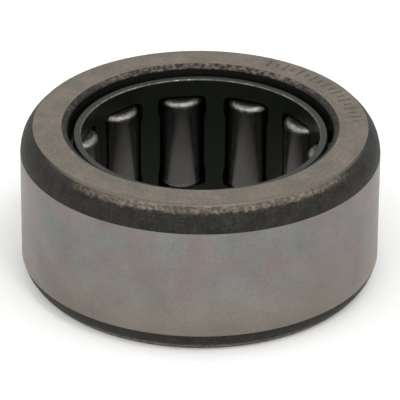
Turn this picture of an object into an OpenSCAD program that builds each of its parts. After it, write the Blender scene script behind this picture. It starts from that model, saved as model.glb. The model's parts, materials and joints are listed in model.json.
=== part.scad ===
// Needle roller bearing without an inner ring: a thick outer ring with two ribs,
// one cage and a set of rollers that run straight on the shaft.
// The origin is the middle of the bore, halfway between the faces, and +Z is the axis.

/* [Outer ring] */
// Outside diameter
ring_d = 27; // [26.6:0.2:30]
// Width from face to face
ring_w = 12; // [11.6:0.2:16]
// Radial depth of the two rounded outside corners
corner_depth = 0.96; // [0.5:0.02:1.1]
// Length along the axis of the upper outside corner
upper_corner_len = 1.98; // [1.4:0.02:2.2]
// Length along the axis of the lower outside corner
lower_corner_len = 1.54; // [1.4:0.02:2.2]
// Radius of the curve that the outside corners follow
corner_r = 2.6; // [2:0.1:5]
// Diameter of the bore through the two ribs
rib_bore_d = 19.92; // [19.6:0.04:20.4]
// Radial depth of the chamfers at the two mouths of the bore
mouth_depth = 0.44; // [0.2:0.02:0.6]
// Length along the axis of those chamfers
mouth_len = 0.28; // [0.1:0.02:0.6]

/* [Rollers] */
// Number of rollers, and of pockets in the cage
roller_count = 11; // [8:1:11]
// Diameter of one roller
roller_d = 3.5; // [3.3:0.1:3.5]
// Length of one roller
roller_len = 7.5; // [6.5:0.1:7.6]
// Radius of the rounded ends of a roller
roller_corner = 0.5; // [0.2:0.05:0.6]
// Diameter of the circle that the rollers leave free for the shaft
shaft_d = 16; // [15.9:0.02:16.1]
// Gap between a roller and the raceway, on the radius
roller_gap = 0.02; // [0.01:0.01:0.05]
// Angle of the first roller, counted from +X towards +Y
first_roller_angle = 99.3; // [0:0.1:360]

/* [Cage] */
// Outside diameter
cage_d = 19.1; // [18.9:0.02:19.2]
// Bore diameter
cage_bore_d = 17.9; // [17.8:0.02:18]
// Length along the axis
cage_len = 10.6; // [9.8:0.1:11]
// Width of a pocket across its roller
pocket_w = 3.74; // [3.7:0.02:3.8]
// Length of a pocket along its roller
pocket_len = 7.8; // [7.7:0.05:8.2]
// Radius in the corners of a pocket
pocket_corner = 0.45; // [0.2:0.05:0.6]
// Opening between the two lips that keep a roller from falling inwards
lip_opening = 3.48; // [3.46:0.01:3.5]
// Length of the lips along the roller
lip_len = 4.8; // [3:0.1:6]

/* [Hidden] */
$fn = 96;

// The raceway lies outside the rollers; the groove is a little longer than they are.
raceway_r = shaft_d / 2 + roller_d + roller_gap;
groove_len = roller_len + 0.12;
// A shallow relief at each end of the raceway lets the grinding wheel run out.
relief_depth = 0.12;
relief_len = 0.35;

pitch_r = (shaft_d + roller_d) / 2;
pocket_step = 360 / roller_count;
cage_edge = 0.1;
lip_thickness = 0.24;
lip_slope = 0.25;
// Cutters run past the wall that they cut by this much.
overrun = 1;
arc_steps = 10;
corner_steps = 6;

function roller_name(i) = str("roller_", i < 10 ? "0" : "", i);
function roller_angle(i) = first_roller_angle + (i - 1) * pocket_step;

// Points on the arc of radius r from a to b, bulging to the right of the way from a to b.
function arc_points(a, b, r, steps = arc_steps) =
    let (
        chord = norm(b - a),
        along = (b - a) / chord,
        right = [along[1], -along[0]],
        centre = (a + b) / 2 - right * sqrt(r * r - chord * chord / 4),
        from = atan2(a[1] - centre[1], a[0] - centre[0]),
        sweep = 2 * asin(chord / 2 / r)
    )
    [for (i = [0 : steps])
        let (t = from + sweep * i / steps)
        centre + r * [cos(t), sin(t)]];

// Half section of the ring, as radius and height, anticlockwise from the lower face.
function ring_section() =
    let (
        outer = ring_d / 2,
        face = outer - corner_depth,
        bore = rib_bore_d / 2,
        mouth = bore + mouth_depth,
        top = ring_w / 2,
        groove = groove_len / 2,
        relief = raceway_r + relief_depth
    )
    concat(
        [[mouth, -top]],
        arc_points([face, -top], [outer, -top + lower_corner_len], corner_r),
        arc_points([outer, top - upper_corner_len], [face, top], corner_r),
        [
            [mouth, top],
            [bore, top - mouth_len],
            [bore, groove],
            [relief, groove],
            [relief, groove - relief_len],
            [raceway_r, groove - relief_len],
            [raceway_r, -groove + relief_len],
            [relief, -groove + relief_len],
            [relief, -groove],
            [bore, -groove],
            [bore, -top + mouth_len]
        ]
    );

// Half section of a plain sleeve with small chamfers on all four edges.
function sleeve_section(inner, outer, len, edge) = [
    [inner + edge, -len / 2],
    [outer - edge, -len / 2],
    [outer, -len / 2 + edge],
    [outer, len / 2 - edge],
    [outer - edge, len / 2],
    [inner + edge, len / 2],
    [inner, len / 2 - edge],
    [inner, -len / 2 + edge]
];

module outer_ring() {
    color("#87827b")
        rotate_extrude()
            polygon(ring_section());
}

// One corner of a pocket's outline, as an arc about [x, y] from angle a to a + 90.
function corner_points(x, y, a) = [
    for (i = [0 : corner_steps])
        let (t = a + 90 * i / corner_steps)
        [x + pocket_corner * cos(t), y + pocket_corner * sin(t)]
];

// Outline of a pocket: a rectangle with round corners whose long sides step in by lip_in.
function pocket_outline(lip_in) =
    let (
        x = pocket_w / 2 - pocket_corner,
        y = pocket_len / 2 - pocket_corner,
        side = pocket_w / 2,
        low = lip_len / 2 - lip_slope,
        high = lip_len / 2 + lip_slope,
        step = lip_in > 0
            ? [[side, -high], [side - lip_in, -low], [side - lip_in, low], [side, high]]
            : []
    )
    concat(
        corner_points(x, -y, -90),
        step,
        corner_points(x, y, 0),
        corner_points(-x, y, 90),
        -step,
        corner_points(-x, -y, 180)
    );

// What is cut out of the cage for one roller, along +X: narrow between the lips
// at the bore, and at the full width outside them.
module pocket_cutter() {
    start_r = cage_bore_d / 2 - overrun;
    end_r = cage_d / 2 + overrun;
    lips_end_r = cage_bore_d / 2 + lip_thickness;
    rotate([90, 0, 90]) {
        translate([0, 0, start_r])
            linear_extrude(end_r - start_r)
                polygon(pocket_outline((pocket_w - lip_opening) / 2));
        translate([0, 0, lips_end_r])
            linear_extrude(end_r - lips_end_r)
                polygon(pocket_outline(0));
    }
}

module cage() {
    color("#2b2a28")
        difference() {
            rotate_extrude()
                polygon(sleeve_section(cage_bore_d / 2, cage_d / 2, cage_len, cage_edge));
            for (i = [1 : roller_count])
                rotate([0, 0, roller_angle(i)])
                    pocket_cutter();
        }
}

// One roller with flat ends and rounded corners, in its place in the ring.
module roller(i) {
    r = roller_d / 2;
    half = roller_len / 2;
    color("#a5a29d")
        rotate([0, 0, roller_angle(i)])
            translate([pitch_r, 0, 0])
                rotate_extrude()
                    polygon(concat(
                        [[0, -half]],
                        arc_points([r - roller_corner, -half], [r, -half + roller_corner], roller_corner),
                        arc_points([r, half - roller_corner], [r - roller_corner, half], roller_corner),
                        [[0, half]]
                    ));
}

outer_ring();
cage();
for (i = [1 : roller_count])
    roller(i);
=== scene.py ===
import json
import math

import bpy
from bpy.props import (
    FloatProperty,
    FloatVectorProperty,
    IntProperty,
    PointerProperty,
)
from mathutils import Matrix, Vector


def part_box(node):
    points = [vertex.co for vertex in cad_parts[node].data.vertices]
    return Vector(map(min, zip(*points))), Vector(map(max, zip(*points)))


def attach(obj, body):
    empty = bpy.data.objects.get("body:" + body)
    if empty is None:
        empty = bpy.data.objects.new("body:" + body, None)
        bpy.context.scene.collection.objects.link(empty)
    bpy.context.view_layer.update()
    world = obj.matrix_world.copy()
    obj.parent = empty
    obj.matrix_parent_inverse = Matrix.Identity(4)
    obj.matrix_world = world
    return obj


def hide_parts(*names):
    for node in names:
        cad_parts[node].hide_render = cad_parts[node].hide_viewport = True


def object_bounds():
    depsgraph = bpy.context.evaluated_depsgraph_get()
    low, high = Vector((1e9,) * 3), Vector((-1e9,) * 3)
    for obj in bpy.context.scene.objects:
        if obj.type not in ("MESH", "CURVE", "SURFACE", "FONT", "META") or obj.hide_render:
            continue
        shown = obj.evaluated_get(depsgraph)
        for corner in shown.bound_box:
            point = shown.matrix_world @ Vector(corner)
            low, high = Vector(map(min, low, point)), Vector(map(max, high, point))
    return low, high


bl_info = {
    "name": "Needle Roller Bearing",
    "version": (1, 0, 0),
    "blender": (4, 5, 0),
    "location": "3D View > Sidebar > Bearing",
    "description": "Builds the ring and gives the cage and the rollers their finishes",
    "category": "Add Mesh",
}

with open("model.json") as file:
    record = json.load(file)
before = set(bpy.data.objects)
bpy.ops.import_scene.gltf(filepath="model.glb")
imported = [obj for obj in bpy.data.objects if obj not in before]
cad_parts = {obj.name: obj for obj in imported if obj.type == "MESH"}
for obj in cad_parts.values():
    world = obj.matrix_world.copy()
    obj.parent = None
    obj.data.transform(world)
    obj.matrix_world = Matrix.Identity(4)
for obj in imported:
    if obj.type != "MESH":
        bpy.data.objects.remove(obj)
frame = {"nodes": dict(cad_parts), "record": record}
CAD_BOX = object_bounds()

MM = 0.001
# Sensor width that the lens lengths are counted against.
SENSOR_MM = 36
# Inputs and the output of a Mix node that mixes colours, and its inputs for numbers.
MIX_FACTOR, MIX_A, MIX_B, MIX_RESULT = 0, 6, 7, 2
MIX_LOW, MIX_HIGH = 2, 3

# The outer sizes come from the frame, and so does the ground stretch of the ring's outside,
# which the press fit holds. The two unground corners lie below and above it.
RING_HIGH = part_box("outer_ring")[1]
CAGE_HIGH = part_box("cage")[1]
ROLLER_NODES = sorted(n for n in frame["nodes"] if n.startswith("roller_"))
ROLLER_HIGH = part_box(ROLLER_NODES[0])[1]
SEAT = next(m for m in frame["record"]["mounts"] if m["name"] == "outer_seat")
SEAT_HALF = SEAT["dims"]["length_mm"] * MM / 2
SEAT_LOW = SEAT["pos_m"][2] - SEAT_HALF
SEAT_HIGH = SEAT["pos_m"][2] + SEAT_HALF

# How many stretches the ring's section has across a face, round an outside corner and
# along the ground outside.
FACE_STEPS = 4
CORNER_STEPS = 14
OUTSIDE_STEPS = 6
# Faces of the meshes meet smoothly up to this angle.
SMOOTH_ANGLE = math.radians(35)
# The ring's material slots.
OUTSIDE, FACE, CORNER, INSIDE = range(4)

# The row of index marks on the upper face: radius of its middle line and half the length
# of a long mark, in millimetres, and the angle of its middle and half its sweep.
MARK_RADIUS = 11.65
MARK_HALF = 0.55
MARK_ROW_MIDDLE = math.radians(32.5)
MARK_ROW_HALF = math.radians(31.5)
# How far from a mark's middle line it is at its full strength, and where it ends.
MARK_FULL = 0.06
MARK_END = 0.11
# Shallow etching takes only part of the shine away.
MARK_STRENGTH = 0.75

# The grain of scale, oxide and tumbled steel is typically 0.05 mm across. It is drawn at
# this size in millimetres, about as fine as shows.
GRAIN = 0.17
# Tone of the bare steel next to the faces beside that of the ground faces.
BARE_TONE = 0.62

# Angles above the horizon between which the room's light rises, and falls off again.
RISE_FROM, RISE_TO = math.radians(20), math.radians(38)
FALL_FROM, FALL_TO = math.radians(50), math.radians(68)
# The softbox in front and above: its place and size in metres, and its power in watts.
SOFTBOX_PLACE = Vector((0.12, -0.25, 0.55))
SOFTBOX_SIZE = 0.12
SOFTBOX_POWER = 0.5
FLOOR_SIZE = 6


def linear(code):
    """An sRGB hex colour such as #8a857f as a linear colour with full alpha."""
    levels = [int(code[i : i + 2], 16) / 255 for i in (1, 3, 5)]
    curve = [c / 12.92 if c <= 0.04045 else ((c + 0.055) / 1.055) ** 2.4 for c in levels]
    return (*curve, 1.0)


# ---------------------------------------------------------------- sizes and colours


class RingSettings(bpy.types.PropertyGroup):
    """Sizes and finishes of the outer ring."""

    radius: FloatProperty(
        name="Outside radius",
        description="Radius of the ground outside",
        default=RING_HIGH.x,
        unit="LENGTH",
    )
    half_width: FloatProperty(
        name="Half width",
        description="Distance from the middle of the ring to each face",
        default=RING_HIGH.z,
        unit="LENGTH",
    )
    corner_depth: FloatProperty(
        name="Corner depth",
        description="How far the outside corners cut in over the faces",
        default=0.96 * MM,
        unit="LENGTH",
    )
    corner_radius: FloatProperty(
        name="Corner radius",
        description="Radius of the curve that the outside corners follow",
        default=2.6 * MM,
        unit="LENGTH",
    )
    bore_radius: FloatProperty(
        name="Rib bore radius",
        description="Radius of the bore through the two ribs",
        default=9.96 * MM,
        unit="LENGTH",
    )
    mouth_depth: FloatProperty(
        name="Mouth depth",
        description="Radial depth of the chamfers at the mouths of the bore",
        default=0.44 * MM,
        unit="LENGTH",
    )
    mouth_length: FloatProperty(
        name="Mouth length",
        description="Length along the axis of the chamfers at the mouths of the bore",
        default=0.28 * MM,
        unit="LENGTH",
    )
    raceway_radius: FloatProperty(
        name="Raceway radius",
        description="Radius of the track that the rollers run on",
        default=11.52 * MM,
        unit="LENGTH",
    )
    groove_length: FloatProperty(
        name="Groove length",
        description="Distance between the two ribs",
        default=7.62 * MM,
        unit="LENGTH",
    )
    relief_depth: FloatProperty(
        name="Relief depth",
        description="Depth of the grinding relief at each end of the raceway",
        default=0.12 * MM,
        unit="LENGTH",
    )
    relief_length: FloatProperty(
        name="Relief length",
        description="Length along the axis of each grinding relief",
        default=0.35 * MM,
        unit="LENGTH",
    )
    edge_round: FloatProperty(
        name="Edge rounding",
        description="Width of the small round on the ring's edges",
        default=0.05 * MM,
        unit="LENGTH",
    )
    skin_relief: FloatProperty(
        name="Skin relief",
        description="Depth of the unevenness that tumbling leaves on the outside corners",
        default=0.035 * MM,
        unit="LENGTH",
    )
    skin_grain: FloatProperty(
        name="Skin grain",
        description="Size of the lumps of that unevenness",
        default=0.4 * MM,
        unit="LENGTH",
    )
    segments: IntProperty(
        name="Segments",
        description="Number of flats round the ring's mesh",
        default=384,
        min=96,
        max=512,
    )
    outside_colour: FloatVectorProperty(
        name="Outside",
        description="Colour of the ground outside",
        subtype="COLOR",
        size=4,
        default=linear("#797673"),
    )
    face_colour: FloatVectorProperty(
        name="Faces",
        description="Colour of the ground faces",
        subtype="COLOR",
        size=4,
        default=linear("#837b70"),
    )
    skin_colour: FloatVectorProperty(
        name="Corner skin",
        description="Colour of the heat-treated skin left on the corners",
        subtype="COLOR",
        size=4,
        default=linear("#1c1a15"),
    )
    mark_colour: FloatVectorProperty(
        name="Index marks",
        description="Colour of the etched index marks on the upper face",
        subtype="COLOR",
        size=4,
        default=linear("#4f453b"),
    )
    mark_pitch: FloatProperty(
        name="Index pitch",
        description="Angle between one index mark and the next",
        default=math.radians(3.5),
        subtype="ANGLE",
    )


class CageSettings(bpy.types.PropertyGroup):
    """Finish of the cage, and the sizes that it follows."""

    bore_radius: FloatProperty(
        name="Bore radius",
        description="Radius of the cage's bore",
        default=8.95 * MM,
        unit="LENGTH",
    )
    half_length: FloatProperty(
        name="Half length",
        description="Distance from the middle of the cage to each rim",
        default=CAGE_HIGH.z,
        unit="LENGTH",
    )
    # Width of a painted highlight along the inner edge of each rim, drawn as bare steel.
    painted_highlight_width: FloatProperty(
        name="Edge wear",
        description="Width of the bright line rubbed along the inner edge of each rim",
        default=0.1 * MM,
        unit="LENGTH",
    )
    # Colour of the painted highlight along the rims' inner edges, drawn as bare steel.
    painted_highlight_colour: FloatVectorProperty(
        name="Bare edge",
        description="Colour of the steel where the oxide is rubbed off",
        subtype="COLOR",
        size=4,
        default=linear("#a39d95"),
    )
    # The rims' lighter colour is painted light: it stands for the light that falls on their upward
    # end faces.
    painted_light_rim_colour: FloatVectorProperty(
        name="Rims",
        description="Colour of the thinner oxide on the turned end faces of the rims",
        subtype="COLOR",
        size=4,
        default=linear("#272722"),
    )
    colour: FloatVectorProperty(
        name="Oxide",
        description="Colour of the black oxide",
        subtype="COLOR",
        size=4,
        default=linear("#0a0d08"),
    )


class RollerSettings(bpy.types.PropertyGroup):
    """Finish of the rollers, and the sizes that it follows."""

    half_length: FloatProperty(
        name="Half length",
        description="Distance from the middle of a roller to each end",
        default=ROLLER_HIGH.z,
        unit="LENGTH",
    )
    end_round: FloatProperty(
        name="End rounding",
        description="Radius of the rounded ends",
        default=0.5 * MM,
        unit="LENGTH",
    )
    colour: FloatVectorProperty(
        name="Steel",
        description="Colour of the ground rollers",
        subtype="COLOR",
        size=4,
        default=linear("#73716d"),
    )


class StageSettings(bpy.types.PropertyGroup):
    """Floor, lights and camera."""

    floor_colour: FloatVectorProperty(
        name="Floor",
        description="Colour of the floor",
        subtype="COLOR",
        size=4,
        default=linear("#f8f8f7"),
    )
    horizon_light: FloatProperty(
        name="Horizon light",
        description="Brightness of the room near the horizon",
        default=1.0,
    )
    side_light: FloatProperty(
        name="Side light",
        description="Brightness of the room halfway up, all round",
        default=1.85,
    )
    top_light: FloatProperty(
        name="Top light",
        description="Brightness of the room straight overhead",
        default=0.3,
    )
    front_lean: FloatProperty(
        name="Front lean",
        description="How much brighter the room is in front than on average",
        default=0.4,
        min=0,
        max=1,
    )
    distance: FloatProperty(
        name="Camera distance",
        description="Distance of the camera from the middle of the bearing",
        default=0.28542,
        unit="LENGTH",
    )
    elevation: FloatProperty(
        name="Camera elevation",
        description="Angle of the camera above the horizon, seen from the bearing",
        default=math.radians(28.235),
        subtype="ANGLE",
    )
    pitch: FloatProperty(
        name="Camera pitch",
        description="Angle that the camera looks down by",
        default=math.radians(28.31),
        subtype="ANGLE",
    )
    roll: FloatProperty(
        name="Camera roll",
        description="Turn of the camera about the way that it looks",
        default=math.radians(0.395),
        subtype="ANGLE",
    )
    lens: FloatProperty(
        name="Lens",
        description="Focal length of the camera in millimetres",
        default=340.3,
        unit="CAMERA",
    )


class BearingSettings(bpy.types.PropertyGroup):
    """All settings of the bearing."""

    ring: PointerProperty(type=RingSettings)
    cage: PointerProperty(type=CageSettings)
    rollers: PointerProperty(type=RollerSettings)
    stage: PointerProperty(type=StageSettings)


# ---------------------------------------------------------------- materials


def add_node(tree, kind, inputs=None, **settings):
    """Adds a node with its settings, and fills or links the inputs given by name or number."""
    node = tree.nodes.new(kind)
    for name, value in settings.items():
        setattr(node, name, value)
    for key, value in (inputs or {}).items():
        if isinstance(value, bpy.types.NodeSocket):
            tree.links.new(value, node.inputs[key])
        else:
            node.inputs[key].default_value = value
    return node


def new_material(name):
    """An empty material with a shader and its output: (material, tree, shader)."""
    material = bpy.data.materials.new(name)
    material.use_nodes = True
    tree = material.node_tree
    tree.nodes.clear()
    shader = add_node(tree, "ShaderNodeBsdfPrincipled")
    add_node(tree, "ShaderNodeOutputMaterial", {"Surface": shader.outputs["BSDF"]})
    return material, tree, shader


def place_in_mm(tree):
    """The point on the object in millimetres: (vector, x, y, height, radius)."""
    point = add_node(tree, "ShaderNodeTexCoord").outputs["Object"]
    scaled = add_node(
        tree, "ShaderNodeVectorMath", {0: point, 3: 1 / MM}, operation="SCALE"
    ).outputs["Vector"]
    parts = add_node(tree, "ShaderNodeSeparateXYZ", {"Vector": scaled}).outputs
    flat = add_node(tree, "ShaderNodeCombineXYZ", {"X": parts["X"], "Y": parts["Y"]})
    radius = add_node(
        tree, "ShaderNodeVectorMath", {0: flat.outputs["Vector"]}, operation="LENGTH"
    ).outputs["Value"]
    return scaled, parts["X"], parts["Y"], parts["Z"], radius


def spots(tree, place, size, low, high, detail=3.0, stretch=(1, 1, 1)):
    """Uneven spots about size mm across, stretched as asked, whose values run from low to high."""
    drawn = add_node(
        tree,
        "ShaderNodeVectorMath",
        {0: place, 1: tuple(1 / size / s for s in stretch)},
        operation="MULTIPLY",
    )
    noise = add_node(
        tree,
        "ShaderNodeTexNoise",
        {"Vector": drawn.outputs["Vector"], "Scale": 1.0, "Detail": detail, "Roughness": 0.6},
    )
    return add_node(
        tree,
        "ShaderNodeMapRange",
        {
            "Value": noise.outputs["Fac"],
            "From Min": 0.3,
            "From Max": 0.7,
            "To Min": low,
            "To Max": high,
        },
    ).outputs["Result"]


def drifting_cast(tree, place, colour, cool, warm):
    """The colour with a cast that drifts from cool to warm, in clouds about 2 mm across."""
    return add_node(
        tree,
        "ShaderNodeMix",
        {
            MIX_FACTOR: spots(tree, place, 2.0, -0.5, 1.5),
            MIX_A: (*[c * f for c, f in zip(colour, cool)], 1),
            MIX_B: (*[c * f for c, f in zip(colour, warm)], 1),
        },
        data_type="RGBA",
    ).outputs[MIX_RESULT]


def ground_outside_steel(settings):
    """Hardened bearing steel, ground between centreless wheels.

    The grinding leaves a satin grey with fine rings round it, and cloudy changes of tone
    and cast a few millimetres across. The cast is warmer low down.
    """
    material, tree, shader = new_material("ground_outside_steel")
    point, _, _, height, _ = place_in_mm(tree)
    steel = settings.outside_colour[:3]
    cast = drifting_cast(tree, point, steel, (0.96, 1.025, 1.015), (1.055, 0.96, 0.98))
    low_down = add_node(
        tree,
        "ShaderNodeMapRange",
        {"Value": height, "From Min": 0.5, "From Max": -4.0},
        interpolation_type="SMOOTHSTEP",
    )
    base = add_node(
        tree,
        "ShaderNodeMix",
        {
            MIX_FACTOR: low_down.outputs["Result"],
            MIX_A: cast,
            MIX_B: (*[c * f for c, f in zip(steel, (1.1, 1.03, 0.95))], 1),
        },
        data_type="RGBA",
    )
    clouded = add_node(
        tree,
        "ShaderNodeVectorMath",
        {0: base.outputs[MIX_RESULT], 3: spots(tree, point, 3.0, 0.9, 1.1, detail=4.0)},
        operation="SCALE",
    )
    # A grit's marks are typically 0.02 mm wide. They are drawn at 0.1 mm, as fine as shows.
    grained = add_node(
        tree,
        "ShaderNodeVectorMath",
        {0: clouded.outputs["Vector"], 3: spots(tree, point, 0.1, 0.87, 1.13, detail=2.0)},
        operation="SCALE",
    )
    # Grinding lines run round the ring, each a few millimetres long. They are typically
    # 0.05 mm apart, and are drawn at 0.12 mm so that they show.
    lines = spots(tree, point, 0.12, 0.0, 1.0, stretch=(30, 30, 1))
    roughness = add_node(
        tree,
        "ShaderNodeMapRange",
        {"Value": lines, "To Min": 0.4, "To Max": 0.5},
    )
    bump = add_node(
        tree,
        "ShaderNodeBump",
        {"Height": lines, "Strength": 0.12, "Distance": 0.004 * MM},
    )
    tree.links.new(grained.outputs["Vector"], shader.inputs["Base Color"])
    tree.links.new(roughness.outputs["Result"], shader.inputs["Roughness"])
    tree.links.new(bump.outputs["Normal"], shader.inputs["Normal"])
    shader.inputs["Metallic"].default_value = 1.0
    return material


def ground_face_steel(settings):
    """Bearing steel with its faces ground flat on a turning table.

    The grinding leaves a warm satin grey, with fine lines round the axis and clouds of
    tone. The upper face has a row of etched index marks.
    """
    material, tree, shader = new_material("ground_face_steel")
    point, x, y, height, radius = place_in_mm(tree)

    # Grinding lines run round the axis: spots drawn on the direction from the axis and on
    # the radius are long round the ring and short across it. Such lines are typically
    # 0.05 mm apart, and are drawn at 0.1 mm so that they show.
    flat = add_node(tree, "ShaderNodeCombineXYZ", {"X": x, "Y": y})
    direction = add_node(
        tree, "ShaderNodeVectorMath", {0: flat.outputs["Vector"]}, operation="NORMALIZE"
    )
    round_axis = add_node(
        tree, "ShaderNodeSeparateXYZ", {"Vector": direction.outputs["Vector"]}
    )
    line_place = add_node(
        tree,
        "ShaderNodeCombineXYZ",
        {"X": round_axis.outputs["X"], "Y": round_axis.outputs["Y"], "Z": radius},
    )
    lines = spots(tree, line_place.outputs["Vector"], 0.1, 0.0, 1.0, stretch=(2, 2, 1))
    line_tone = add_node(
        tree,
        "ShaderNodeMapRange",
        {"Value": lines, "To Min": 0.92, "To Max": 1.08},
    )
    steel = settings.face_colour[:3]
    cast = drifting_cast(tree, point, steel, (0.97, 1.015, 1.015), (1.03, 0.98, 1.0))
    lined = add_node(
        tree,
        "ShaderNodeVectorMath",
        {0: cast, 3: line_tone.outputs["Result"]},
        operation="SCALE",
    )
    clouded = add_node(
        tree,
        "ShaderNodeVectorMath",
        {0: lined.outputs["Vector"], 3: spots(tree, point, 2.0, 0.84, 1.16, detail=4.0)},
        operation="SCALE",
    )
    grained = add_node(
        tree,
        "ShaderNodeVectorMath",
        {0: clouded.outputs["Vector"], 3: spots(tree, point, GRAIN, 0.8, 1.2)},
        operation="SCALE",
    )
    marked = add_node(
        tree,
        "ShaderNodeMix",
        {
            MIX_FACTOR: index_marks(tree, settings, x, y, height, radius),
            MIX_A: grained.outputs["Vector"],
            MIX_B: settings.mark_colour,
        },
        data_type="RGBA",
    )
    bump = add_node(
        tree,
        "ShaderNodeBump",
        {"Height": lines, "Strength": 0.1, "Distance": 0.004 * MM},
    )
    tree.links.new(marked.outputs[MIX_RESULT], shader.inputs["Base Color"])
    tree.links.new(bump.outputs["Normal"], shader.inputs["Normal"])
    shader.inputs["Roughness"].default_value = 0.5
    shader.inputs["Metallic"].default_value = 1.0
    return material


def index_marks(tree, settings, x, y, height, radius):
    """How strongly each point is etched: a row of short radial marks on the upper face."""
    angle = add_node(tree, "ShaderNodeMath", {0: y, 1: x}, operation="ARCTAN2")
    in_marks = add_node(
        tree,
        "ShaderNodeMath",
        {0: angle.outputs["Value"], 1: 1 / settings.mark_pitch},
        operation="MULTIPLY",
    )
    # 0 on a mark's middle line and 0.5 halfway to the next.
    away = add_node(
        tree, "ShaderNodeMath", {0: in_marks.outputs["Value"], 1: 0.5}, operation="PINGPONG"
    )
    away_mm = add_node(
        tree,
        "ShaderNodeMath",
        {0: away.outputs["Value"], 1: settings.mark_pitch * MARK_RADIUS},
        operation="MULTIPLY",
    )
    on_line = add_node(
        tree,
        "ShaderNodeMapRange",
        {"Value": away_mm.outputs["Value"], "From Min": MARK_END, "From Max": MARK_FULL},
    )
    # Every other mark is shorter.
    turn = add_node(
        tree, "ShaderNodeMath", {0: in_marks.outputs["Value"], 1: 1.0}, operation="PINGPONG"
    )
    reach = add_node(
        tree,
        "ShaderNodeMapRange",
        {"Value": turn.outputs["Value"], "To Min": MARK_HALF, "To Max": MARK_HALF / 2},
    )
    across = add_node(
        tree,
        "ShaderNodeMath",
        {0: radius, 1: MARK_RADIUS, 2: reach.outputs["Result"]},
        operation="COMPARE",
    )
    in_row = add_node(
        tree,
        "ShaderNodeMath",
        {0: angle.outputs["Value"], 1: MARK_ROW_MIDDLE, 2: MARK_ROW_HALF},
        operation="COMPARE",
    )
    on_top = add_node(tree, "ShaderNodeMath", {0: height, 1: 0.0}, operation="GREATER_THAN")
    etched = on_line.outputs["Result"]
    for limit in (across, in_row, on_top):
        etched = add_node(
            tree,
            "ShaderNodeMath",
            {0: etched, 1: limit.outputs["Value"]},
            operation="MULTIPLY",
        ).outputs["Value"]
    return add_node(
        tree, "ShaderNodeMath", {0: etched, 1: MARK_STRENGTH}, operation="MULTIPLY"
    ).outputs["Value"]


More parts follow.
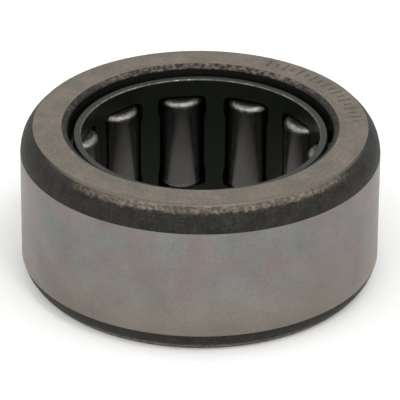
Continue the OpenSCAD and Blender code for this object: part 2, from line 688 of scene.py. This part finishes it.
def heat_treated_skin(
    settings, name, tone, roughness, worn_side, worn_width, bare_width, wear, fleck_colours
):
    """Bearing steel left as it came out of the hardening furnace.

    The furnace leaves a rough, nearly black scale. Tumbling and handling wear it through
    next to the faces, in beige and brown flecks, most of all on the side that worn_side
    points to. The wear reaches worn_width down from the face, and leaves clean steel over
    the first bare_width, both in millimetres. tone is the scale's brightness beside the
    usual; a tone below 1 is painted shade that darkens the scale. roughness is its own.
    wear is how far through the flecks go, on the other sides and on the worn side.
    fleck_colours are the darkest and the brightest fleck.
    """
    material, tree, shader = new_material(name)
    point, x, y, height, _ = place_in_mm(tree)
    worn_from = settings.half_width / MM - worn_width
    bare_from = settings.half_width / MM - bare_width
    grain = spots(tree, point, GRAIN, 0.0, 1.0)
    grain_tone = add_node(
        tree,
        "ShaderNodeMapRange",
        {"Value": grain, "To Min": 0.25 * tone, "To Max": 1.75 * tone},
    )
    grained = add_node(
        tree,
        "ShaderNodeVectorMath",
        {0: settings.skin_colour[:3], 3: grain_tone.outputs["Result"]},
        operation="SCALE",
    )
    scale_colour = add_node(
        tree,
        "ShaderNodeVectorMath",
        {0: grained.outputs["Vector"], 3: spots(tree, point, 0.9, 0.5, 1.5)},
        operation="SCALE",
    )

    # How far each point is from the middle of the width, and how much it faces the worn
    # side: 1 straight at it, 0 at right angles to it.
    away = add_node(tree, "ShaderNodeMath", {0: height}, operation="ABSOLUTE")
    flat = add_node(tree, "ShaderNodeCombineXYZ", {"X": x, "Y": y})
    direction = add_node(
        tree, "ShaderNodeVectorMath", {0: flat.outputs["Vector"]}, operation="NORMALIZE"
    )
    facing = add_node(
        tree,
        "ShaderNodeVectorMath",
        {0: direction.outputs["Vector"], 1: worn_side},
        operation="DOT_PRODUCT",
    )

    # Worn through in flecks, down to a ragged limit, in patches 2.5 mm long.
    least_wear, most_wear = wear
    ragged = add_node(
        tree,
        "ShaderNodeMath",
        {0: away.outputs["Value"], 1: spots(tree, point, 0.4, -0.1, 0.1)},
        operation="ADD",
    )
    near_face = add_node(
        tree,
        "ShaderNodeMapRange",
        {
            "Value": ragged.outputs["Value"],
            "From Min": worn_from,
            "From Max": worn_from + 0.26,
        },
        interpolation_type="SMOOTHSTEP",
    )
    worn_lean = add_node(
        tree,
        "ShaderNodeMapRange",
        {
            "Value": facing.outputs["Value"],
            "From Min": 0.55,
            "From Max": 0.85,
            "To Min": least_wear,
            "To Max": most_wear,
        },
        interpolation_type="SMOOTHSTEP",
    )
    leaning = add_node(
        tree,
        "ShaderNodeMath",
        {0: near_face.outputs["Result"], 1: worn_lean.outputs["Result"]},
        operation="MULTIPLY",
    )
    worn = add_node(
        tree,
        "ShaderNodeMath",
        {0: leaning.outputs["Value"], 1: spots(tree, point, 2.5, 0.5, 1.1)},
        operation="MULTIPLY",
        use_clamp=True,
    ).outputs["Value"]
    # Flecks of thin scale and bare steel 0.2 mm high, longer round the ring than across it.
    darkest, brightest = (linear(code) for code in fleck_colours)
    flecks = spots(tree, point, 0.2, -0.4, 1.0, stretch=(1.6, 1.6, 1))
    fleck_colour = add_node(
        tree,
        "ShaderNodeMix",
        {MIX_FACTOR: flecks, MIX_A: darkest, MIX_B: brightest},
        data_type="RGBA",
    )
    flecked = add_node(
        tree,
        "ShaderNodeMix",
        {
            MIX_FACTOR: worn,
            MIX_A: scale_colour.outputs["Vector"],
            MIX_B: fleck_colour.outputs[MIX_RESULT],
        },
        data_type="RGBA",
    )
    fleck_metal = add_node(
        tree, "ShaderNodeMath", {0: worn, 1: flecks}, operation="MULTIPLY", use_clamp=True
    )

    # Rubbed clean next to the face.
    near_edge = add_node(
        tree,
        "ShaderNodeMapRange",
        {
            "Value": away.outputs["Value"],
            "From Min": bare_from,
            "From Max": bare_from + 0.08,
        },
        interpolation_type="SMOOTHSTEP",
    )
    bare_lean = add_node(
        tree,
        "ShaderNodeMapRange",
        {"Value": facing.outputs["Value"], "From Min": 0.3, "From Max": 0.7},
        interpolation_type="SMOOTHSTEP",
    )
    bare = add_node(
        tree,
        "ShaderNodeMath",
        {0: near_edge.outputs["Result"], 1: bare_lean.outputs["Result"]},
        operation="MULTIPLY",
    ).outputs["Value"]
    colour = add_node(
        tree,
        "ShaderNodeMix",
        {
            MIX_FACTOR: bare,
            MIX_A: flecked.outputs[MIX_RESULT],
            MIX_B: (*[c * BARE_TONE for c in settings.face_colour[:3]], 1),
        },
        data_type="RGBA",
    )
    metallic = add_node(
        tree, "ShaderNodeMath", {0: fleck_metal.outputs["Value"], 1: bare}, operation="MAXIMUM"
    )
    shine = add_node(
        tree,
        "ShaderNodeMapRange",
        {"Value": metallic.outputs["Value"], "To Min": roughness, "To Max": 0.5},
    )
    bump = add_node(
        tree,
        "ShaderNodeBump",
        {"Height": grain, "Strength": 0.4, "Distance": 0.012 * MM},
    )
    tree.links.new(colour.outputs[MIX_RESULT], shader.inputs["Base Color"])
    tree.links.new(metallic.outputs["Value"], shader.inputs["Metallic"])
    tree.links.new(shine.outputs["Result"], shader.inputs["Roughness"])
    tree.links.new(bump.outputs["Normal"], shader.inputs["Normal"])
    shader.inputs["Specular IOR Level"].default_value = 0.2
    return material


def black_oxide(settings):
    """Black oxide on the thin steel of the cage, with a film of oil.

    The oil gives it a low, even gloss. The rims' end faces are painted greyer than the
    bore, as painted light for the light that falls on them from above. A thin bright line
    of bare steel along the rims' inner edges is a painted highlight of those edges.
    """
    material, tree, shader = new_material("black_oxide")
    point, _, _, height, radius = place_in_mm(tree)
    grain = spots(tree, point, GRAIN, 0.0, 1.0)
    tone = add_node(
        tree,
        "ShaderNodeMapRange",
        {"Value": grain, "To Min": 0.75, "To Max": 1.25},
    )
    edge = settings.painted_highlight_width / MM
    bore = settings.bore_radius / MM
    half = settings.half_length / MM
    away = add_node(tree, "ShaderNodeMath", {0: height}, operation="ABSOLUTE")
    # The rims' end faces take the lighter rim colour: painted light, for the light that falls on
    # them from above.
    on_end = add_node(
        tree,
        "ShaderNodeMapRange",
        {"Value": away.outputs["Value"], "From Min": half - 0.04, "From Max": half - 0.01},
    )
    oxide_and_painted_rim_light = add_node(
        tree,
        "ShaderNodeMix",
        {
            MIX_FACTOR: on_end.outputs["Result"],
            MIX_A: settings.colour,
            MIX_B: settings.painted_light_rim_colour,
        },
        data_type="RGBA",
    )
    oxide = add_node(
        tree,
        "ShaderNodeVectorMath",
        {0: oxide_and_painted_rim_light.outputs[MIX_RESULT], 3: tone.outputs["Result"]},
        operation="SCALE",
    )
    # A thin line of bare steel along the rims' inner edges: a painted highlight of the rounded
    # edges.
    at_rim = add_node(
        tree,
        "ShaderNodeMapRange",
        {"Value": away.outputs["Value"], "From Min": half - edge, "From Max": half - edge / 2},
    )
    at_bore = add_node(
        tree,
        "ShaderNodeMapRange",
        {"Value": radius, "From Min": bore + edge, "From Max": bore + edge / 2},
    )
    on_edge = add_node(
        tree,
        "ShaderNodeMath",
        {0: at_rim.outputs["Result"], 1: at_bore.outputs["Result"]},
        operation="MULTIPLY",
    )
    painted_highlight_mask = add_node(
        tree,
        "ShaderNodeMath",
        {0: on_edge.outputs["Value"], 1: spots(tree, point, 0.3, 0.0, 0.75)},
        operation="MULTIPLY",
    ).outputs["Value"]
    colour = add_node(
        tree,
        "ShaderNodeMix",
        {
            MIX_FACTOR: painted_highlight_mask,
            MIX_A: oxide.outputs["Vector"],
            MIX_B: settings.painted_highlight_colour,
        },
        data_type="RGBA",
    )
    bump = add_node(
        tree,
        "ShaderNodeBump",
        {"Height": grain, "Strength": 0.15, "Distance": 0.006 * MM},
    )
    tree.links.new(colour.outputs[MIX_RESULT], shader.inputs["Base Color"])
    tree.links.new(painted_highlight_mask, shader.inputs["Metallic"])
    tree.links.new(spots(tree, point, 1.5, 0.32, 0.44), shader.inputs["Roughness"])
    tree.links.new(bump.outputs["Normal"], shader.inputs["Normal"])
    shader.inputs["Specular IOR Level"].default_value = 0.3
    shader.inputs["Specular Tint"].default_value = linear("#f6fff0")
    return material


def roller_steel(settings):
    """Through-hardened roller steel, ground and honed along its length.

    The sides are smooth and bright. The rounded ends are only tumbled, so their shine is
    dappled. Their colour is dappled too, and brighter on average than the sides, which is
    partly a painted highlight on the ends.
    """
    material, tree, shader = new_material("roller_steel")
    point, _, _, height, _ = place_in_mm(tree)
    side_end = (settings.half_length - settings.end_round) / MM
    grain = spots(tree, point, GRAIN, 0.0, 1.0)
    tone = add_node(
        tree,
        "ShaderNodeMapRange",
        {"Value": grain, "To Min": 0.9, "To Max": 1.1},
    )
    away = add_node(tree, "ShaderNodeMath", {0: height}, operation="ABSOLUTE")
    at_end = add_node(
        tree,
        "ShaderNodeMapRange",
        {
            "Value": away.outputs["Value"],
            "From Min": side_end - 0.05,
            "From Max": side_end + 0.1,
        },
        interpolation_type="SMOOTHSTEP",
    )
    # On the rounded ends the colour runs from 0.7 to 1.6 times the steel: partly the tumbled
    # dapple, partly a painted highlight that brightens the ends.
    end_dapple_and_painted_highlight = add_node(
        tree,
        "ShaderNodeMix",
        {
            MIX_FACTOR: at_end.outputs["Result"],
            MIX_LOW: tone.outputs["Result"],
            MIX_HIGH: spots(tree, point, 0.2, 0.7, 1.6, stretch=(1.5, 1.5, 1)),
        },
    )
    shaded = add_node(
        tree,
        "ShaderNodeVectorMath",
        {0: settings.colour[:3], 3: end_dapple_and_painted_highlight.outputs["Result"]},
        operation="SCALE",
    )
    dapple = add_node(
        tree,
        "ShaderNodeMath",
        {0: grain, 1: at_end.outputs["Result"]},
        operation="MULTIPLY",
    )
    bump = add_node(
        tree,
        "ShaderNodeBump",
        {"Height": dapple.outputs["Value"], "Strength": 0.9, "Distance": 0.02 * MM},
    )
    roughness = add_node(
        tree,
        "ShaderNodeMix",
        {
            MIX_FACTOR: at_end.outputs["Result"],
            MIX_LOW: spots(tree, point, 0.8, 0.18, 0.26),
            MIX_HIGH: 0.28,
        },
    )
    tree.links.new(shaded.outputs["Vector"], shader.inputs["Base Color"])
    tree.links.new(roughness.outputs["Result"], shader.inputs["Roughness"])
    tree.links.new(bump.outputs["Normal"], shader.inputs["Normal"])
    shader.inputs["Metallic"].default_value = 1.0
    return material


# ---------------------------------------------------------------- modelling helpers


def deselect_all():
    """Leaves edit mode and deselects every object."""
    if bpy.context.object and bpy.context.object.mode != "OBJECT":
        bpy.ops.object.mode_set(mode="OBJECT")
    bpy.ops.object.select_all(action="DESELECT")


def arc(start, end, radius, steps):
    """Points on the arc of that radius from start to end, bulging to the right of the way."""
    start, end = Vector(start), Vector(end)
    chord = end - start
    right = Vector((chord.y, -chord.x)).normalized()
    centre = (start + end) / 2 - right * math.sqrt(radius**2 - chord.length_squared / 4)
    first = math.atan2(start.y - centre.y, start.x - centre.x)
    sweep = 2 * math.asin(chord.length / 2 / radius)
    turns = [first + sweep * i / steps for i in range(steps + 1)]
    return [(centre.x + radius * math.cos(t), centre.y + radius * math.sin(t)) for t in turns]


def spread(start, end, steps):
    """Points between start and end, without the two ends."""
    return [
        (
            start[0] + (end[0] - start[0]) * i / steps,
            start[1] + (end[1] - start[1]) * i / steps,
        )
        for i in range(1, steps)
    ]


def turn_on_lathe(name, section, segments):
    """A closed ring whose section is a loop of (radius, height), made by extruding a circle."""
    deselect_all()
    radius, height = section[0]
    bpy.ops.mesh.primitive_circle_add(
        vertices=segments, radius=radius, location=(0, 0, height)
    )
    piece = bpy.context.object
    piece.name = name
    bpy.ops.object.transform_apply(location=True, rotation=True, scale=True)
    bpy.ops.object.mode_set(mode="EDIT")
    bpy.ops.mesh.select_all(action="SELECT")
    for next_radius, next_height in [*section[1:], section[0]]:
        bpy.ops.mesh.extrude_edges_move(
            TRANSFORM_OT_translate={"value": (0, 0, next_height - height)}
        )
        ratio = next_radius / radius
        bpy.ops.transform.resize(value=(ratio, ratio, 1), center_override=(0, 0, 0))
        radius, height = next_radius, next_height
    bpy.ops.mesh.select_all(action="SELECT")
    bpy.ops.mesh.remove_doubles(threshold=0.001 * MM)
    bpy.ops.mesh.normals_make_consistent(inside=False)
    bpy.ops.object.mode_set(mode="OBJECT")
    return piece


def select_edges(piece, wanted):
    """Selects the edges both of whose ends wanted(radius, height) accepts."""
    bpy.ops.object.mode_set(mode="EDIT")
    bpy.ops.mesh.select_mode(type="EDGE")
    bpy.ops.mesh.select_all(action="DESELECT")
    bpy.ops.object.mode_set(mode="OBJECT")
    mesh = piece.data
    inside = [wanted(math.hypot(v.co.x, v.co.y), v.co.z) for v in mesh.vertices]
    for edge in mesh.edges:
        edge.select = all(inside[i] for i in edge.vertices)
    if not any(edge.select for edge in mesh.edges):
        raise RuntimeError(f"{piece.name}: no edge lies where one was looked for")
    bpy.ops.object.mode_set(mode="EDIT")


def select_faces(piece, wanted):
    """Selects the faces whose middle and normal wanted(radius, height, outward, upward) accepts."""
    bpy.ops.object.mode_set(mode="EDIT")
    bpy.ops.mesh.select_mode(type="FACE")
    bpy.ops.mesh.select_all(action="DESELECT")
    bpy.ops.object.mode_set(mode="OBJECT")
    for face in piece.data.polygons:
        radius = math.hypot(face.center.x, face.center.y)
        outward = (face.normal.x * face.center.x + face.normal.y * face.center.y) / radius
        face.select = wanted(radius, face.center.z, outward, face.normal.z)
    if not any(face.select for face in piece.data.polygons):
        raise RuntimeError(f"{piece.name}: no face lies where one was looked for")
    bpy.ops.object.mode_set(mode="EDIT")


# ---------------------------------------------------------------- operators


class BEARING_OT_outer_ring(bpy.types.Operator):
    """Turn the outer ring, round its edges and finish its faces, corners and bore"""

    bl_idname = "bearing.outer_ring"
    bl_label = "Outer Ring"

    def execute(self, context):
        s = context.scene.bearing.ring
        piece = turn_on_lathe("ring", self.section(s), s.segments)
        self.round_edges(piece, s)
        self.tumble_corners(piece, s)
        self.finish_regions(piece, s)
        bpy.ops.object.mode_set(mode="OBJECT")
        bpy.ops.object.shade_smooth_by_angle(angle=SMOOTH_ANGLE)
        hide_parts("outer_ring")
        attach(piece, "ring")
        return {"FINISHED"}

    @staticmethod
    def section(s):
        """The ring's section as a loop of (radius, height) that starts at the lower face."""
        face = s.radius - s.corner_depth
        mouth = s.bore_radius + s.mouth_depth
        rib = s.half_width - s.mouth_length
        groove = s.groove_length / 2
        relief = s.raceway_radius + s.relief_depth
        track = groove - s.relief_length
        return [
            (mouth, -s.half_width),
            *spread((mouth, -s.half_width), (face, -s.half_width), FACE_STEPS),
            *arc((face, -s.half_width), (s.radius, SEAT_LOW), s.corner_radius, CORNER_STEPS),
            *spread((s.radius, SEAT_LOW), (s.radius, SEAT_HIGH), OUTSIDE_STEPS),
            *arc((s.radius, SEAT_HIGH), (face, s.half_width), s.corner_radius, CORNER_STEPS),
            *spread((face, s.half_width), (mouth, s.half_width), FACE_STEPS),
            (mouth, s.half_width),
            (s.bore_radius, rib),
            (s.bore_radius, groove),
            (relief, groove),
            (relief, track),
            (s.raceway_radius, track),
            (s.raceway_radius, -track),
            (relief, -track),
            (relief, -groove),
            (s.bore_radius, -groove),
            (s.bore_radius, -rib),
        ]

    @staticmethod
    def round_edges(piece, s):
        """Rounds the edges that show: round the faces, the mouths and the ribs."""
        near = 0.002 * MM
        face = s.radius - s.corner_depth
        mouth = s.bore_radius + s.mouth_depth
        rib = s.half_width - s.mouth_length
        edges = [(face, s.half_width), (mouth, s.half_width), (s.bore_radius, rib)]

        def on_edge(radius, height):
            return any(
                abs(radius - r) < near and abs(abs(height) - h) < near for r, h in edges
            )

        select_edges(piece, on_edge)
        bpy.ops.mesh.bevel(offset=s.edge_round, segments=3, affect="EDGES")

    @staticmethod
    def tumble_corners(piece, s):
        """Makes the unground corners slightly uneven, inwards only."""
        face = s.radius - s.corner_depth
        margin = 0.1 * MM

        def on_corner(radius, height):
            unground = not SEAT_LOW - margin < height < SEAT_HIGH + margin
            return unground and radius > face + margin

        select_edges(piece, on_corner)
        bpy.ops.object.vertex_group_add()
        bpy.ops.object.vertex_group_assign()
        bpy.ops.object.mode_set(mode="OBJECT")
        lumps = bpy.data.textures.new("tumbling", "CLOUDS")
        lumps.noise_scale = s.skin_grain
        lumps.noise_depth = 2
        bpy.ops.object.modifier_add(type="DISPLACE")
        uneven = piece.modifiers[-1]
        uneven.texture = lumps
        uneven.texture_coords = "LOCAL"
        uneven.vertex_group = piece.vertex_groups.active.name
        # With the middle level at the top of the noise, the surface only ever moves inwards.
        uneven.mid_level = 1
        uneven.strength = s.skin_relief
        bpy.ops.object.modifier_apply(modifier=uneven.name)

    @staticmethod
    def finish_regions(piece, s):
        """Gives the faces, the outside, the corners and the bore their own finishes."""
        finishes = {
            OUTSIDE: ground_outside_steel(s),
            FACE: ground_face_steel(s),
            CORNER: heat_treated_skin(
                s,
                "corner_skin",
                tone=1.0,
                roughness=0.6,
                worn_side=(0.1, -1, 0),
                worn_width=0.66,
                bare_width=0.19,
                wear=(0.06, 1.0),
                fleck_colours=("#4b423b", "#887d72"),
            ),
            INSIDE: heat_treated_skin(
                s,
                "mouth_skin",
                # tone 0.2 is painted shade: the scale in the bore is darkened to stand for the
                # shade inside the bore.
                tone=0.2,
                roughness=0.45,
                worn_side=(0.05, 1, 0),
                worn_width=0.36,
                bare_width=0.04,
                wear=(0.2, 1.0),
                fleck_colours=("#2e2722", "#92867a"),
            ),
        }
        for slot in sorted(finishes):
            piece.data.materials.append(finishes[slot])
        face = s.radius - s.corner_depth
        mouth = s.bore_radius + s.mouth_depth
        # A face's mesh is level to within 11 degrees, and lies this near to the full height.
        level = 0.98
        near = 0.01 * MM

        def on_corner(radius, height, outward, upward):
            return radius > face and not SEAT_LOW < height < SEAT_HIGH

        def inside(radius, height, outward, upward):
            return radius < mouth or outward < -0.5

        def on_face(radius, height, outward, upward):
            return abs(upward) > level and abs(height) > s.half_width - near

        # Everything starts in the first slot, OUTSIDE. A later finish covers an earlier one.
        for slot, wanted in ((CORNER, on_corner), (INSIDE, inside), (FACE, on_face)):
            select_faces(piece, wanted)
            piece.active_material_index = slot
            bpy.ops.object.material_slot_assign()


class BEARING_OT_cage(bpy.types.Operator):
    """Give the cage its black oxide finish"""

    bl_idname = "bearing.cage"
    bl_label = "Cage"

    def execute(self, context):
        finish_cad_nodes(["cage"], black_oxide(context.scene.bearing.cage))
        return {"FINISHED"}


class BEARING_OT_rollers(bpy.types.Operator):
    """Give the rollers their ground steel finish"""

    bl_idname = "bearing.rollers"
    bl_label = "Rollers"

    def execute(self, context):
        finish_cad_nodes(ROLLER_NODES, roller_steel(context.scene.bearing.rollers))
        return {"FINISHED"}


def finish_cad_nodes(names, material):
    """Puts one material on the CAD nodes of those names."""
    for name in names:
        mesh = frame["nodes"][name].data
        mesh.materials.clear()
        mesh.materials.append(material)


class BEARING_OT_stage(bpy.types.Operator):
    """Add the floor, the lights and the camera"""

    bl_idname = "bearing.stage"
    bl_label = "Stage"

    def execute(self, context):
        s = context.scene.bearing.stage
        self.floor(s)
        self.lights(context, s)
        self.camera(context, s)
        context.scene.view_settings.view_transform = "Standard"
        return {"FINISHED"}

    @staticmethod
    def floor(s):
        """A plain pale floor that the bearing stands on."""
        deselect_all()
        bpy.ops.mesh.primitive_plane_add(size=FLOOR_SIZE, location=(0, 0, CAD_BOX[0].z))
        floor = bpy.context.object
        floor.name = "floor"
        material, _, shader = new_material("floor_paint")
        shader.inputs["Base Color"].default_value = s.floor_colour
        shader.inputs["Roughness"].default_value = 0.8
        floor.data.materials.append(material)

    @staticmethod
    def lights(context, s):
        """A room that is light all round and darker straight overhead, and one softbox."""
        world = bpy.data.worlds.new("studio")
        world.use_nodes = True
        tree = world.node_tree
        direction = add_node(tree, "ShaderNodeTexCoord").outputs["Generated"]
        parts = add_node(tree, "ShaderNodeSeparateXYZ", {"Vector": direction}).outputs
        rising = add_node(
            tree,
            "ShaderNodeMapRange",
            {
                "Value": parts["Z"],
                "From Min": math.sin(RISE_FROM),
                "From Max": math.sin(RISE_TO),
                "To Min": s.horizon_light,
                "To Max": s.side_light,
            },
            interpolation_type="SMOOTHSTEP",
        )
        strength = add_node(
            tree,
            "ShaderNodeMapRange",
            {
                "Value": parts["Z"],
                "From Min": math.sin(FALL_FROM),
                "From Max": math.sin(FALL_TO),
                "To Min": rising.outputs["Result"],
                "To Max": s.top_light,
            },
            interpolation_type="SMOOTHSTEP",
        )
        # More of the light comes from in front than from behind.
        front = add_node(
            tree,
            "ShaderNodeMapRange",
            {
                "Value": parts["Y"],
                "From Min": -0.8,
                "From Max": 0.8,
                "To Min": 1 + s.front_lean,
                "To Max": 1 - s.front_lean,
            },
        )
        leaned = add_node(
            tree,
            "ShaderNodeMath",
            {0: strength.outputs["Result"], 1: front.outputs["Result"]},
            operation="MULTIPLY",
        )
        background = tree.nodes["Background"]
        tree.links.new(leaned.outputs["Value"], background.inputs["Strength"])
        background.inputs["Color"].default_value = (1, 1, 1, 1)
        context.scene.world = world
        deselect_all()
        bpy.ops.object.light_add(type="AREA", location=SOFTBOX_PLACE)
        lamp = bpy.context.object
        lamp.name = "front_softbox"
        lamp.data.shape = "DISK"
        lamp.data.size = SOFTBOX_SIZE
        lamp.data.energy = SOFTBOX_POWER
        lamp.rotation_mode = "QUATERNION"
        lamp.rotation_quaternion = SOFTBOX_PLACE.to_track_quat("Z", "Y")

    @staticmethod
    def camera(context, s):
        """A camera in front of the bearing that looks down on it at a slant."""
        deselect_all()
        bpy.ops.object.camera_add()
        camera = bpy.context.object
        camera.name = "camera"
        place = Vector((0, -math.cos(s.elevation), math.sin(s.elevation))) * s.distance
        look = Matrix.Rotation(math.pi / 2 - s.pitch, 4, "X") @ Matrix.Rotation(s.roll, 4, "Z")
        camera.matrix_world = Matrix.Translation(place) @ look
        camera.data.sensor_width = SENSOR_MM
        camera.data.lens = s.lens
        camera.data.clip_start = 0.01
        camera.data.clip_end = 10
        context.scene.camera = camera


class BEARING_PT_panel(bpy.types.Panel):
    """Lists the bearing's steps and settings"""

    bl_idname = "BEARING_PT_panel"
    bl_label = "Needle Roller Bearing"
    bl_space_type = "VIEW_3D"
    bl_region_type = "UI"
    bl_category = "Bearing"

    def draw(self, context):
        settings = context.scene.bearing
        for operator, group in STEPS:
            box = self.layout.box()
            box.operator(operator.bl_idname)
            part = getattr(settings, group)
            for name in part.__annotations__:
                box.prop(part, name)


STEPS = (
    (BEARING_OT_outer_ring, "ring"),
    (BEARING_OT_cage, "cage"),
    (BEARING_OT_rollers, "rollers"),
    (BEARING_OT_stage, "stage"),
)

CLASSES = (
    RingSettings,
    CageSettings,
    RollerSettings,
    StageSettings,
    BearingSettings,
    BEARING_OT_outer_ring,
    BEARING_OT_cage,
    BEARING_OT_rollers,
    BEARING_OT_stage,
    BEARING_PT_panel,
)


def register():
    """Registers the classes and hangs the settings on the scene."""
    for cls in CLASSES:
        bpy.utils.register_class(cls)
    bpy.types.Scene.bearing = PointerProperty(type=BearingSettings)


def unregister():
    """Undoes what register did."""
    del bpy.types.Scene.bearing
    for cls in reversed(CLASSES):
        bpy.utils.unregister_class(cls)


def main():
    """Builds everything in order."""
    register()
    bpy.ops.bearing.stage()
    bpy.ops.bearing.outer_ring()
    bpy.ops.bearing.cage()
    bpy.ops.bearing.rollers()


if __name__ == "__main__":
    main()
